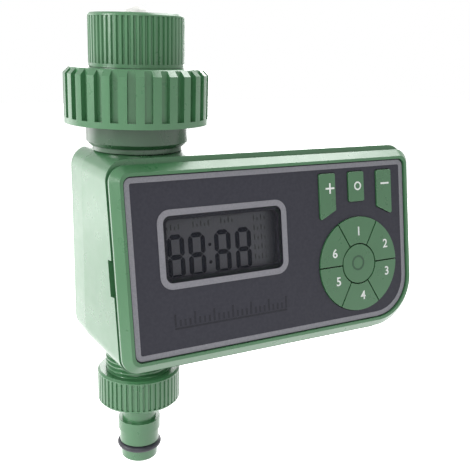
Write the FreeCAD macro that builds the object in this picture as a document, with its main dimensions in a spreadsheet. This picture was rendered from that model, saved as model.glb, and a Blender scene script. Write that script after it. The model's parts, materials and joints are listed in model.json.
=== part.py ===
import FreeCAD
import Part
import PartDesign
import Sketcher
import math
import os
import re

# Driving sizes in millimetres and degrees. The origin is the middle of the inlet's rim, +Z is up along the inlet,
# the control face looks towards -Y and the housing reaches out along +X.
SIZES = {
    # inlet side, from the rim down
    "reducer_wide_r": 17.4,
    "reducer_tall": 18.7,
    "reducer_bore_r": 12.1,
    "reducer_bore_deep": 16.0,
    "reducer_tail_r": 16.6,
    "reducer_tail_long": 9.8,
    "reducer_pass_r": 8.6,
    "reducer_ribs": 54,
    "reducer_rib_deep": 0.7,
    "reducer_rib_gap": 0.9,
    "reducer_band_low": 1.4,
    "reducer_band_high": 1.2,
    "collar_gap": 0.2,
    "rim_chamfer": 0.7,
    "swivel_r": 26.4,
    "swivel_tall": 19.8,
    "swivel_chamfer": 2.2,
    "swivel_teeth": 28,
    "swivel_slot_wide": 2.5,
    "swivel_slot_deep": 1.9,
    "swivel_lip_tall": 2.1,
    "swivel_floor": 3.5,
    "swivel_bore_gap": 0.08,
    "neck_tube_r": 12.5,
    "neck_r": 18.8,
    "neck_tall": 8.2,
    "neck_chamfer": 1.6,
    "neck_gap": 0.3,
    "foot_r": 16.6,
    "waist_r": 14.0,
    "flange_r": 14.9,
    "flange_thick": 2.0,
    "flange_gap": 0.6,
    "clip_r": 15.6,
    "clip_thick": 1.6,
    "clip_slot": 6.0,
    "washer_thick": 2.8,
    "washer_r": 15.6,
    "washer_hole_r": 9.4,
    "small_washer_thick": 2.4,
    "strainer_flange_thick": 1.0,
    "strainer_foot_r": 7.6,
    "strainer_top_r": 4.4,
    "strainer_proud": 2.5,
    "strainer_wall": 0.9,
    "strainer_slots": 12,
    # housing
    "housing_left": -20.8,
    "housing_right": 112.8,
    "housing_drop": 48.4,
    "housing_tall": 76.0,
    "housing_deep": 18.9,
    "seam_back": 3.0,
    "draft": 1.2,
    "wall": 2.6,
    "corner_high_left": 8.0,
    "corner_low_left": 7.5,
    "corner_low_right": 22.0,
    "corner_high_right": 9.0,
    "rear_round": 6.0,
    "hole_gap": 0.1,
    "notch_wide": 13.0,
    "notch_low": 2.5,
    "notch_into": 3.4,
    "housing_screw_r": 1.5,
    "housing_screw_head_r": 3.0,
    "housing_screw_head_tall": 2.2,
    "boss_r": 3.2,
    "post_r": 3.8,
    "boss_long": 15.0,
    "screw_gap": 0.1,
    "fit_gap": 0.1,
    # control face: how far forward its middle stands, its lean and the frame round it
    "face_front": 31.0,
    "face_lift": 0.4,
    "lean": 9.8,
    "frame_side_inset": 0.9,
    "frame_end_inset": 1.6,
    "frame_side_band": 4.2,
    "frame_end_band": 4.1,
    "frame_proud": 1.0,
    "frame_chamfer": 2.8,
    "frame_back": 3.0,
    "frame_corner": 6.0,
    "frame_corner_big": 20.0,
    "gasket_thick": 1.4,
    "gasket_inset": 1.5,
    "skirt_inset": 3.1,
    "skirt_long": 6.0,
    "skirt_wall": 1.8,
    "plate_thick": 0.8,
    "plate_corner": 2.6,
    "plate_corner_big": 16.0,
    "plate_gap": 0.2,
    "window_from_left": 38.1,
    "window_from_top": 26.4,
    "window_wide": 48.9,
    "window_tall": 23.8,
    "window_corner": 3.0,
    "window_ledge": 1.5,
    "window_sink": 0.1,
    "glass_thick": 1.8,
    "strip_wide": 2.4,
    "board_thick": 1.6,
    "board_deep": 6.9,
    "board_gap": 0.4,
    # keys
    "key_gap": 0.25,
    "key_proud": 0.7,
    "key_web_deep": 3.2,
    "key_web_thick": 0.8,
    "key_web_wide": 1.0,
    "key_travel": 0.8,
    "key_pitch": 14.2,
    "key_wide": 7.7,
    "key_from_top": 3.8,
    "key_short": 12.0,
    "key_inner_side": 14.7,
    "key_outer_side": 18.5,
    "key_corner": 0.8,
    "dial_from_right": 24.9,
    "dial_from_low": 23.4,
    "dial_r": 19.15,
    "hub_r": 7.9,
    "sector_gap": 0.5,
    "switch_side": 6.0,
    "switch_tall": 1.6,
    "switch_spot_r": 13.4,
    "plunger_r": 1.7,
    "plunger_gap": 0.1,
    # battery tray
    "tray_plate": 1.6,
    "tray_near": 9.5,
    "tray_long": 48.4,
    "tray_wall": 1.6,
    "tray_deep": 11.8,
    "cell_r": 5.15,
    "cell_long": 43.0,
    "cell_pitch": 11.0,
    "cell_nub_r": 1.9,
    "cell_nub_long": 1.2,
    "contact_thick": 0.5,
    "spring_r": 3.2,
    "spring_wire": 0.5,
    # valve
    "ball_r": 10.5,
    "ball_bore_r": 6.5,
    "ball_gap": 0.1,
    "chamber_r": 11.0,
    "chamber_wall": 4.3,
    "chamber_half": 15.0,
    "tube_r": 12.0,
    "seat_tall": 4.0,
    "seat_hole_r": 6.8,
    "plug_into": 4.5,
    "stem_r": 3.5,
    "stem_gap": 0.05,
    "stem_boss_r": 7.5,
    "tang_thick": 2.4,
    "tang_long": 2.0,
    "ring_section": 1.0,
    # outlet side
    "spigot_r": 13.2,
    "spigot_bore_r": 8.5,
    "spigot_drop": 145.0,
    "connector_r": 16.45,
    "connector_tall": 13.7,
    "connector_floor": 3.2,
    "connector_ribs": 48,
    "connector_rib_deep": 0.55,
    "connector_rib_gap": 0.8,
    "connector_rib_floor": 0.25,
    "connector_band": 1.2,
    "slot_over": 0.5,
    "connector_chamfer": 0.8,
    "outlet_washer_thick": 2.0,
    "nozzle_neck_r": 6.9,
    "nozzle_neck_long": 8.9,
    "collar_r": 8.55,
    "collar_tall": 4.6,
    "nozzle_r": 8.0,
    "nozzle_long": 5.4,
    "tip_r": 7.35,
    "tip_long": 4.6,
    "tip_chamfer": 0.8,
    "ring_groove_r": 6.5,
    "ring_r": 8.95,
    "nozzle_bore_r": 4.6,
    # drive
    "modul": 0.6,
    "mesh_slack": 0.2,
    "teeth_stem": 36,
    "teeth_second_small": 12,
    "teeth_second": 32,
    "teeth_first_small": 10,
    "teeth_first": 30,
    "teeth_motor": 10,
    "mesh_second": 60.0,
    "mesh_first": 140.0,
    "mesh_motor": -100.0,
    "case_near": 18.6,
    "case_plate": 2.2,
    "case_left": -14.5,
    "case_right": 18.8,
    "case_high": 32.0,
    "case_low": 13.5,
    "case_wall": 1.2,
    "gear_side_gap": 0.6,
    "stem_gear_thick": 4.2,
    "wheel_thick": 2.5,
    "pin_r": 1.5,
    "running_gap": 0.05,
    "shaft_r": 1.0,
    "motor_r": 9.5,
    "motor_long": 15.0,
}

doc = FreeCAD.newDocument("watering_timer")
sheet = doc.addObject("Spreadsheet::Sheet", "sizes")
for row, (word, number) in enumerate(SIZES.items(), 1):
    sheet.set(f"A{row}", word)
    sheet.set(f"B{row}", str(number))
    sheet.setAlias(f"B{row}", word)
doc.recompute()

# Long sums that several pieces share, written once.
SUMS = {
    "swivel_bottom": "(reducer_tall + swivel_tall)",
    "neck_bottom": "(swivel_bottom + neck_tall)",
    "housing_top": "(-housing_drop)",
    "housing_bottom": "(-housing_drop - housing_tall)",
    "face_mid": "((housing_left + housing_right) / 2)",
    "face_drop": "(housing_drop + housing_tall / 2 - face_lift)",
    "frame_wide": "(housing_right - housing_left - 2 * frame_side_inset)",
    "frame_tall": "(housing_tall - 2 * frame_end_inset)",
    "plate_wide": "(frame_wide - 2 * frame_side_band)",
    "plate_tall": "(frame_tall - 2 * frame_end_band)",
    "dial_mid": "(plate_wide / 2 - dial_from_right)",
    "dial_up": "(dial_from_low - plate_tall / 2)",
    "window_mid": "(window_from_left - plate_wide / 2)",
    "window_up": "(plate_tall / 2 - window_from_top)",
    "key_top": "(plate_tall / 2 - key_from_top)",
    "key_low_middle": "(key_top - key_short)",
    "key_low_inner": "(key_top - key_inner_side)",
    "key_low_outer": "(key_top - key_outer_side)",
    "clip_low": "(-swivel_bottom + swivel_floor + neck_gap)",
    "tube_top": "(-reducer_tall - reducer_tail_long - washer_thick)",
    "shoulder": "(-reducer_bore_deep)",
    "ball_level": "(-face_drop)",
    "gear_plane": "(case_near + case_plate + gear_side_gap)",
    "wheel_plane": "(gear_plane + stem_gear_thick + gear_side_gap)",
    "first_plane": "(wheel_plane + wheel_thick + gear_side_gap)",
    "case_far": "(first_plane + wheel_thick + 2 * gear_side_gap)",
    "reach_second": "(modul * (teeth_stem + teeth_second_small) / 2)",
    "reach_first": "(modul * (teeth_second + teeth_first_small) / 2)",
    "reach_motor": "(modul * (teeth_first + teeth_motor) / 2)",
    "second_y": "(reach_second * cos(mesh_second))",
    "second_z": "(ball_level + reach_second * sin(mesh_second))",
    "first_y": "(second_y + reach_first * cos(mesh_first))",
    "first_z": "(second_z + reach_first * sin(mesh_first))",
    "motor_y": "(first_y + reach_motor * cos(mesh_motor))",
    "motor_z": "(first_z + reach_motor * sin(mesh_motor))",
    "panel_back": "(-frame_back)",
    "skirt_back": "(-frame_back - skirt_long)",
    "key_web_top": "(-key_web_deep)",
    "key_back": "(-key_web_deep - key_web_thick)",
    "plunger_top": "(key_back - key_travel - plunger_gap)",
    "board_top": "(-board_deep)",
    "tray_top": "(skirt_back - tray_plate)",
    "tray_floor": "(tray_top - tray_deep)",
    "nozzle_top": "(-spigot_drop - outlet_washer_thick - connector_floor)",
    "connector_top": "(nozzle_top + connector_tall)",
    "collar_top": "(nozzle_top - nozzle_neck_long)",
    "collar_low": "(collar_top - collar_tall)",
    "ring_top": "(collar_low - nozzle_long)",
    "ring_tall": "(2 * (ring_r - ring_groove_r) * 0.62)",
    "nozzle_low": "(ring_top - ring_tall - tip_long)",
}


def tie(rule):
    """A rule in plain names as the sheet's cells."""
    while any(re.search(rf"\b{word}\b", rule) for word in SUMS):
        rule = re.sub(r"\b[a-z]\w*", lambda found: SUMS.get(found.group(), found.group()), rule)
    return re.sub(r"\b[a-z]\w*", lambda found: "sizes." * (found.group() in SIZES) + found.group(), rule)


def size(rule):
    value = sheet.evalExpression(tie(rule))
    return float(getattr(value, "Value", value))


def bind(thing, **rules):
    for word, rule in rules.items():
        thing.setExpression(word, tie(rule))
    return thing


def vector(x, y, z=0.0):
    return FreeCAD.Vector(x, y, z)


def put(thing, x="0", y="0", z="0"):
    bind(thing, **{"Placement.Base.x": x, "Placement.Base.y": y, "Placement.Base.z": z})
    return thing


def turn(thing, axis, rule):
    """Turns a thing about an axis through its own origin by a bound angle."""
    thing.Placement = FreeCAD.Placement(thing.Placement.Base, FreeCAD.Rotation(vector(*axis), 1.0))
    thing.setExpression("Placement.Rotation.Angle", tie(rule))
    return thing


def on_face(thing):
    """Local X runs along the control face, local Y up it and local Z straight out of it."""
    return put(turn(thing, (1, 0, 0), "90 - lean"), "face_mid", "-face_front", "-face_drop")


def upright(thing, y="0"):
    """Local X runs along +X, local Y up and local Z towards the front."""
    return put(turn(thing, (1, 0, 0), "90"), "0", y, "0")


def along_x(thing, x="0", y="0", z="0"):
    """Local Z runs along +X, with local X along +Y and local Y up."""
    return put(turn(thing, (1, 1, 1), "120"), x, y, z)


def box(name, wide, deep, tall, x="0", y="0", z="0"):
    solid = doc.addObject("Part::Box", name)
    return put(bind(solid, Length=wide, Width=deep, Height=tall), x, y, z)


def cylinder(name, radius, tall, x="0", y="0", z="0"):
    solid = doc.addObject("Part::Cylinder", name)
    return put(bind(solid, Radius=radius, Height=tall), x, y, z)


def fuse(name, *solids):
    joined = doc.addObject("Part::MultiFuse", name)
    joined.Shapes = list(solids)
    joined.Refine = True
    return joined


def cut(name, base, *tools):
    tool = tools[0] if len(tools) == 1 else fuse(name + "_tools", *tools)
    left = doc.addObject("Part::Cut", name)
    left.Base, left.Tool = base, tool
    left.Refine = True
    return left


def compound(name, *solids):
    group = doc.addObject("Part::Compound", name)
    group.Links = list(solids)
    return group


def sketch_on(body, plane):
    sketch = body.newObject("Sketcher::SketchObject", body.Name + "_sketch")
    sketch.AttachmentSupport = [(origin_of(body, plane), "")]
    sketch.MapMode = "FlatFace"
    return sketch


def origin_of(body, role):
    return next(found for found in body.Origin.OriginFeatures if found.Role == role)


def hold(sketch, kind, rule, *where):
    spot = sketch.addConstraint(Sketcher.Constraint(kind, *where, size(rule)))
    sketch.setExpression(f"Constraints[{spot}]", tie(rule))


def polygon(sketch, corners):
    """A closed outline with straight sides, each corner held by its own pair of rules."""
    spots = [vector(size(across), size(up)) for across, up in corners]
    for spot, following in zip(spots, spots[1:] + spots[:1]):
        sketch.addGeometry(Part.LineSegment(spot, following))
    for side in range(len(spots)):
        sketch.addConstraint(Sketcher.Constraint("Coincident", side, 2, (side + 1) % len(spots), 1))
    for side, (across, up) in enumerate(corners):
        hold(sketch, "DistanceX", across, -1, 1, side, 1)
        hold(sketch, "DistanceY", up, -1, 1, side, 1)


def round_outline(sketch, left, right, low, high, radii):
    """A rectangle with four rounded corners: radii from the low left corner, counter-clockwise."""
    x0, x1, y0, y1 = size(left), size(right), size(low), size(high)
    middles = [(x0, y0, 1, 1), (x1, y0, -1, 1), (x1, y1, -1, -1), (x0, y1, 1, -1)]
    arcs = []
    for corner, ((x, y, inwards, up), rule) in enumerate(zip(middles, radii)):
        radius = size(rule)
        circle = Part.Circle(vector(x + inwards * radius, y + up * radius), vector(0, 0, 1), radius)
        start = math.pi * (1 + corner / 2)
        arcs.append(sketch.addGeometry(Part.ArcOfCircle(circle, start, start + math.pi / 2)))
    sides = []
    for corner in range(4):
        start = sketch.Geometry[arcs[corner]].EndPoint
        end = sketch.Geometry[arcs[(corner + 1) % 4]].StartPoint
        sides.append(sketch.addGeometry(Part.LineSegment(start, end)))
    for corner in range(4):
        following = arcs[(corner + 1) % 4]
        sketch.addConstraint(Sketcher.Constraint("Tangent", arcs[corner], 2, sides[corner], 1))
        sketch.addConstraint(Sketcher.Constraint("Tangent", sides[corner], 2, following, 1))
    for side, kind in zip(sides, ("Horizontal", "Vertical", "Horizontal", "Vertical")):
        sketch.addConstraint(Sketcher.Constraint(kind, side))
    hold(sketch, "DistanceY", low, -1, 1, sides[0], 1)
    hold(sketch, "DistanceX", right, -1, 1, sides[1], 1)
    hold(sketch, "DistanceY", high, -1, 1, sides[2], 1)
    hold(sketch, "DistanceX", left, -1, 1, sides[3], 1)
    for arc, rule in zip(arcs, radii):
        hold(sketch, "Radius", rule, arc)


def turned(name, corners):
    """A piece turned about Z from a half section of radius and height."""
    body = doc.addObject("PartDesign::Body", name)
    sketch = sketch_on(body, "XZ_Plane")
    polygon(sketch, corners)
    round_piece = body.newObject("PartDesign::Revolution", name + "_turned")
    round_piece.Profile = sketch
    round_piece.ReferenceAxis = (origin_of(body, "Z_Axis"), [""])
    round_piece.Angle = 360
    doc.recompute()
    return body


def padded(name, draw, tall, taper=None, reverse=False):
    body = doc.addObject("PartDesign::Body", name)
    sketch = sketch_on(body, "XY_Plane")
    draw(sketch)
    pad = body.newObject("PartDesign::Pad", name + "_pad")
    pad.Profile = sketch
    bind(pad, Length=tall)
    if taper:
        bind(pad, TaperAngle=taper)
    pad.Reversed = reverse
    doc.recompute()
    return body


def round_plate(name, left, right, low, high, radii, bottom, tall):
    body = padded(name, lambda sketch: round_outline(sketch, left, right, low, high, radii), tall)
    return put(body, "0", "0", bottom)


def edges_where(shape, test):
    return ["Edge%d" % (n + 1) for n, edge in enumerate(shape.Edges) if test(edge)]


def ease(body, kind, rule, test):
    """A fillet or chamfer on the edges that the test picks."""
    doc.recompute()
    base = body.Tip
    edges = edges_where(base.Shape, test)
    feature = body.newObject("PartDesign::" + kind, body.Name + "_" + kind.lower())
    feature.Base = (base, edges)
    bind(feature, **{"Radius" if kind == "Fillet" else "Size": rule})
    doc.recompute()


def slots_round(body, name, corners, bottom, tall, count):
    """Upright slots of one plan outline, cut from a height upwards and repeated round Z."""
    sketch = sketch_on(body, "XY_Plane")
    sketch.setExpression("AttachmentOffset.Base.z", tie(bottom))
    polygon(sketch, corners)
    pocket = body.newObject("PartDesign::Pocket", name)
    pocket.Profile = sketch
    pocket.Reversed = True
    bind(pocket, Length=tall)
    doc.recompute()
    around = body.newObject("PartDesign::PolarPattern", name + "_round")
    around.Originals = [pocket]
    around.Axis = (origin_of(body, "Z_Axis"), [""])
    around.Angle = 360
    bind(around, Occurrences=count)
    body.Tip = around
    doc.recompute()


NODES = []


def keep(thing, label):
    thing.Label = label
    NODES.append(thing)
    return thing


# Swivel nut: a coarse toothed ring over a thin lip, with the big inlet thread inside it.
swivel = turned("swivel", [
    ("reducer_tail_r + swivel_bore_gap", "-reducer_tall"),
    ("swivel_r - swivel_chamfer", "-reducer_tall"),
    ("swivel_r", "-reducer_tall - swivel_chamfer"),
    ("swivel_r", "-swivel_bottom"),
    ("neck_tube_r + neck_gap", "-swivel_bottom"),
    ("neck_tube_r + neck_gap", "-swivel_bottom + swivel_floor"),
    ("reducer_tail_r + swivel_bore_gap", "-swivel_bottom + swivel_floor"),
])
slots_round(swivel, "swivel_slot", [
    ("swivel_r - swivel_slot_deep", "-swivel_slot_wide / 2"),
    ("swivel_r + 1", "-swivel_slot_wide / 2 - 0.3"),
    ("swivel_r + 1", "swivel_slot_wide / 2 + 0.3"),
    ("swivel_r - swivel_slot_deep", "swivel_slot_wide / 2"),
], "-swivel_bottom + swivel_lip_tall", "swivel_tall", "swivel_teeth")
keep(swivel, "swivel_nut")

# Reducer: a finely ribbed collar that takes the tap, on a tail that screws into the swivel nut.
reducer = turned("reducer_body", [
    ("reducer_bore_r", "0"),
    ("reducer_wide_r - rim_chamfer", "0"),
    ("reducer_wide_r", "-rim_chamfer"),
    ("reducer_wide_r", "-reducer_tall + collar_gap"),
    ("reducer_tail_r", "-reducer_tall + collar_gap"),
    ("reducer_tail_r", "-reducer_tall - reducer_tail_long"),
    ("reducer_pass_r", "-reducer_tall - reducer_tail_long"),
    ("reducer_pass_r", "shoulder - small_washer_thick - strainer_flange_thick"),
    ("reducer_bore_r", "shoulder - small_washer_thick - strainer_flange_thick"),
])
slots_round(reducer, "reducer_slot", [
    ("reducer_wide_r - reducer_rib_deep", "-reducer_rib_gap / 4"),
    ("reducer_wide_r + slot_over", "-reducer_rib_gap"),
    ("reducer_wide_r + slot_over", "reducer_rib_gap"),
    ("reducer_wide_r - reducer_rib_deep", "reducer_rib_gap / 4"),
], "-reducer_tall + reducer_band_low", "reducer_tall - reducer_band_low - reducer_band_high", "reducer_ribs")
keep(reducer, "reducer")

keep(turned("small_washer", [
    ("reducer_pass_r", "shoulder - strainer_flange_thick"),
    ("reducer_bore_r - 0.1", "shoulder - strainer_flange_thick"),
    ("reducer_bore_r - 0.1", "shoulder - small_washer_thick - strainer_flange_thick"),
    ("reducer_pass_r", "shoulder - small_washer_thick - strainer_flange_thick"),
]), "reducer_washer")

# Strainer: a tall slotted cone with a closed round top that looks out over the rim.
strainer_shell = turned("strainer_shell", [
    ("strainer_foot_r - strainer_wall", "shoulder - strainer_flange_thick"),
    ("reducer_bore_r - 0.3", "shoulder - strainer_flange_thick"),
    ("reducer_bore_r - 0.3", "shoulder"),
    ("strainer_foot_r", "shoulder"),
    ("strainer_top_r", "strainer_proud - strainer_top_r / 2"),
    ("strainer_top_r * 0.8", "strainer_proud - strainer_top_r / 5"),
    ("strainer_top_r * 0.4", "strainer_proud"),
    ("0", "strainer_proud"),
    ("0", "strainer_proud - strainer_wall"),
    ("strainer_top_r * 0.4", "strainer_proud - strainer_wall"),
    ("strainer_top_r - strainer_wall", "strainer_proud - strainer_top_r / 2 - strainer_wall"),
])
slots_round(strainer_shell, "strainer_slot", [
    ("strainer_top_r - strainer_wall - 0.6", "-0.45"),
    ("strainer_foot_r + 1", "-0.45"),
    ("strainer_foot_r + 1", "0.45"),
    ("strainer_top_r - strainer_wall - 0.6", "0.45"),
], "shoulder + 2", "-shoulder + strainer_proud - strainer_top_r - 3", "strainer_slots")
keep(strainer_shell, "inlet_strainer")

keep(turned("big_washer", [
    ("washer_hole_r", "tube_top"),
    ("washer_r", "tube_top"),
    ("washer_r", "tube_top + washer_thick"),
    ("washer_hole_r", "tube_top + washer_thick"),
]), "inlet_washer")

# Split ring that holds the swivel nut on the neck.
clip_ring = turned("clip_ring", [
    ("neck_tube_r - 1", "clip_low"),
    ("clip_r", "clip_low"),
    ("clip_r", "clip_low + clip_thick"),
    ("neck_tube_r - 1", "clip_low + clip_thick"),
])
keep(cut("clip", clip_ring, box(
    "clip_opening", "clip_r", "clip_slot", "clip_thick + 2", "0", "-clip_slot / 2", "clip_low - 1",
)), "swivel_clip")

# Valve body: inlet neck, waist that the two shells close on, and the ball's chamber with its stem boss.
valve_turned = turned("valve_turned", [
    ("washer_hole_r", "tube_top"),
    ("neck_tube_r", "tube_top"),
    ("neck_tube_r", "clip_low + clip_thick + running_gap"),
    ("neck_tube_r - 1 - running_gap", "clip_low + clip_thick + running_gap"),
    ("neck_tube_r - 1 - running_gap", "clip_low - running_gap"),
    ("neck_tube_r", "clip_low - running_gap"),
    ("neck_tube_r", "-swivel_bottom - neck_gap"),
    ("neck_r", "-swivel_bottom - neck_gap"),
    ("neck_r", "-neck_bottom + neck_chamfer"),
    ("neck_r - neck_chamfer", "-neck_bottom"),
    ("foot_r", "-neck_bottom"),
    ("foot_r", "housing_top + 0.05"),
    ("waist_r", "housing_top + 0.05"),
    ("waist_r", "housing_top - wall - flange_gap"),
    ("flange_r", "housing_top - wall - flange_gap"),
    ("flange_r", "housing_top - wall - flange_gap - flange_thick"),
    ("tube_r", "housing_top - wall - flange_gap - flange_thick"),
    ("tube_r", "ball_level + chamber_half"),
    ("chamber_r + chamber_wall", "ball_level + chamber_half"),
    ("chamber_r + chamber_wall", "ball_level - chamber_half"),
    ("chamber_r", "ball_level - chamber_half"),
    ("chamber_r", "ball_level + ball_r"),
    ("seat_hole_r", "ball_level + ball_r"),
    ("seat_hole_r", "ball_level + chamber_half + 4"),
])
stem_boss = along_x(
    cylinder("stem_boss", "stem_boss_r", "case_near - chamber_r - 1"), "chamber_r + 1", "0", "ball_level")
chamber_void = cylinder("chamber_void", "chamber_r", "2 * ball_r", "0", "0", "ball_level - ball_r")
stem_way = along_x(
    cylinder("stem_way", "stem_r + stem_gap", "case_near"), "chamber_r - 3", "0", "ball_level")
seal_way = along_x(
    cylinder("seal_way", "stem_r + 2 * ring_section", "2 * ring_section"),
    "case_near - 2 * ring_section - 1", "0", "ball_level")
keep(cut("valve", fuse("valve_solid", valve_turned, stem_boss), chamber_void, stem_way, seal_way), "valve_body")

# Outlet spigot: plugs the chamber from below and carries the outlet thread under the housing.
keep(turned("spigot", [
    ("seat_hole_r", "ball_level - chamber_half + plug_into"),
    ("chamber_r - 0.05", "ball_level - chamber_half + plug_into"),
    ("chamber_r - 0.05", "ball_level - chamber_half"),
    ("chamber_r + chamber_wall", "ball_level - chamber_half"),
    ("chamber_r + chamber_wall", "ball_level - chamber_half - 4"),
    ("tube_r", "ball_level - chamber_half - 4"),
    ("tube_r", "housing_bottom + wall + 1.5"),
    ("spigot_r", "housing_bottom + wall + 1.5"),
    ("spigot_r", "-spigot_drop + 0.8"),
    ("spigot_r - 0.8", "-spigot_drop"),
    ("spigot_bore_r", "-spigot_drop"),
    ("spigot_bore_r", "ball_level - chamber_half - 2"),
]), "outlet_spigot")


def seat(name, outward):
    """A seat ring hollowed to the ball, above or below it."""
    bottom = "ball_level + ball_r - seat_tall" if outward else "ball_level - ball_r"
    ring = cut(
        name + "_ring",
        cylinder(name + "_blank", "chamber_r - 0.05", "seat_tall", "0", "0", bottom),
        cylinder(name + "_way", "seat_hole_r", "seat_tall + 2", "0", "0", f"{bottom} - 1"),
        put(bind(doc.addObject("Part::Sphere", name + "_ball"), Radius="ball_r + ball_gap"), z="ball_level"),
    )
    return ring


keep(compound("seats", seat("upper_seat", True), seat("lower_seat", False)), "ball_seats")

# Ball, stem and stem gear turn together about X.
ball_sphere = put(bind(doc.addObject("Part::Sphere", "ball_sphere"), Radius="ball_r"), z="ball_level")
ball_way = cylinder("ball_way", "ball_bore_r", "3 * ball_r", "0", "0", "ball_level - 1.5 * ball_r")
ball_slot = box(
    "ball_slot", "tang_long + 5", "2 * ball_r", "tang_thick + 0.1",
    "ball_r - tang_long", "-ball_r", "ball_level - tang_thick / 2 - 0.05")
keep(cut("ball", ball_sphere, ball_way, ball_slot), "valve_ball")

stem_rod = along_x(
    cylinder("stem_rod", "stem_r", "wheel_plane - gear_side_gap - ball_r - 0.3"), "ball_r + 0.3", "0", "ball_level")
stem_tang = box(
    "stem_tang", "tang_long + 1.5", "2 * stem_r - 1", "tang_thick",
    "ball_r + 0.1 - tang_long", "-stem_r + 0.5", "ball_level - tang_thick / 2")
keep(fuse("stem", stem_rod, stem_tang), "ball_stem")

stem_ring = doc.addObject("Part::Torus", "stem_ring")
bind(stem_ring, Radius1="stem_r + ring_section + stem_gap", Radius2="ring_section - stem_gap")
keep(along_x(stem_ring, "case_near - ring_section - 1", "0", "ball_level"), "stem_seal")


def toothed(name, teeth, wide, spin):
    """A spur wheel about Z with its first gap turned to the spin angle."""
    tip = f"(modul * ({teeth} / 2 + 0.94))"
    root = f"(modul * ({teeth} / 2 - 1.2))"
    half = "((modul * pi / 2 + mesh_slack) / 2"
    wheel = padded(name, lambda sketch: disc(sketch, tip), wide)
    slots_round(wheel, name + "_gap", [
        (root, f"-{half} - 1.2 * modul * tan(20))"),
        (f"{tip} + 0.4", f"-{half} + (modul + 0.4) * tan(20))"),
        (f"{tip} + 0.4", f"{half} + (modul + 0.4) * tan(20))"),
        (root, f"{half} - 1.2 * modul * tan(20))"),
    ], "0", wide, teeth)
    return turn(wheel, (0, 0, 1), spin)


def disc(sketch, radius):
    sketch.addGeometry(Part.Circle(vector(0, 0), vector(0, 0, 1), size(radius)))
    sketch.addConstraint(Sketcher.Constraint("Coincident", 0, 3, -1, 1))
    hold(sketch, "Radius", radius, 0)


# Each wheel shows a tooth to the wheel it drives and a gap to the wheel that drives it.
stem_wheel = toothed("stem_wheel", "teeth_stem", "stem_gear_thick", "mesh_second + 180 / teeth_stem")
stem_hole = cylinder("stem_hole", "stem_r", "stem_gear_thick + 2", "0", "0", "-1")
keep(along_x(cut("stem_gear_cut", stem_wheel, stem_hole), "gear_plane", "0", "ball_level"), "stem_gear")


def pair_of_wheels(name, small, small_spin, small_long, large, large_spin):
    """A small wheel and a large one beyond it on one bore."""
    pinion = toothed(name + "_small", small, small_long, small_spin)
    wheel = put(toothed(name + "_large", large, "wheel_thick", large_spin), "0", "0", small_long)
    hole = cylinder(name + "_hole", "pin_r + running_gap", f"{small_long} + wheel_thick + 2", "0", "0", "-1")
    return cut(name, fuse(name + "_both", pinion, wheel), hole)


second = pair_of_wheels(
    "second", "teeth_second_small", "mesh_second + 180", "stem_gear_thick + gear_side_gap",
    "teeth_second", "mesh_first + 180 / teeth_second")
keep(along_x(second, "gear_plane", "second_y", "second_z"), "second_gear")
first = pair_of_wheels(
    "first", "teeth_first_small", "mesh_first + 180", "wheel_thick + gear_side_gap",
    "teeth_first", "mesh_motor + 180 / teeth_first")
keep(along_x(first, "wheel_plane", "first_y", "first_z"), "first_gear")

pinion_wheel = toothed("pinion_wheel", "teeth_motor", "wheel_thick", "mesh_motor + 180")
pinion_hole = cylinder("pinion_hole", "shaft_r", "wheel_thick + 2", "0", "0", "-1")
keep(along_x(cut("pinion", pinion_wheel, pinion_hole), "first_plane", "motor_y", "motor_z"), "motor_pinion")
keep(along_x(
    cylinder("shaft", "shaft_r", "case_far + case_plate + motor_long / 2 - first_plane + 0.4"),
    "first_plane - 0.4", "motor_y", "motor_z"), "motor_shaft")
motor_can = cylinder("motor_can", "motor_r", "motor_long")
motor_way = cylinder("motor_way", "shaft_r + running_gap", "motor_long / 2 + 1.3", "0", "0", "-1")
motor_flats = [
    box(f"motor_flat_{side}", "2 * motor_r", "motor_r", "motor_long + 2", "-motor_r", where, "-1")
    for side, where in enumerate(("0.78 * motor_r", "-1.78 * motor_r"))
]
keep(along_x(
    cut("motor", motor_can, motor_way, *motor_flats), "case_far + case_plate", "motor_y", "motor_z"), "motor")

# Gear case: a tray on the stem boss and a cover that carries the motor.
case_wide = "(case_right - case_left)"
case_tall = "(case_high + case_low)"
tray_block = box(
    "case_block", "case_far - case_near", case_wide, case_tall,
    "case_near", "case_left", "ball_level - case_low")
tray_hollow = box(
    "case_hollow", "case_far", f"{case_wide} - 2 * case_wall", f"{case_tall} - 2 * case_wall",
    "case_near + case_plate", "case_left + case_wall", "ball_level - case_low + case_wall")
stem_port = along_x(
    cylinder("stem_port", "stem_r + running_gap", "case_plate + 2"), "case_near - 1", "0", "ball_level")


def pin_at(name, radius, x, long, y, z):
    return along_x(cylinder(name, radius, long), x, y, z)


pin_spots = {"second": ("second_y", "second_z"), "first": ("first_y", "first_z")}
base_holes = [
    pin_at(f"base_hole_{word}", "pin_r", "case_near + case_plate - 1.4", "3", *spot)
    for word, spot in pin_spots.items()
]
cover_holes = [
    pin_at(f"cover_hole_{word}", "pin_r", "case_far - 1", "2.4", *spot) for word, spot in pin_spots.items()
]
keep(cut("case_base", tray_block, tray_hollow, stem_port, *base_holes), "gear_case")
cover_plate = box(
    "cover_plate", "case_plate", case_wide, case_tall, "case_far", "case_left", "ball_level - case_low")
motor_port = pin_at("motor_port", "shaft_r + 0.6", "case_far - 1", "case_plate + 2", "motor_y", "motor_z")
keep(cut("case_cover", cover_plate, motor_port, *cover_holes), "gear_cover")
keep(compound("pins", *[
    pin_at(f"pin_{word}", "pin_r", "case_near + case_plate - 1.4", "case_far + 2.8 - case_near - case_plate", *spot)
    for word, spot in pin_spots.items()
]), "gear_pins")

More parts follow.
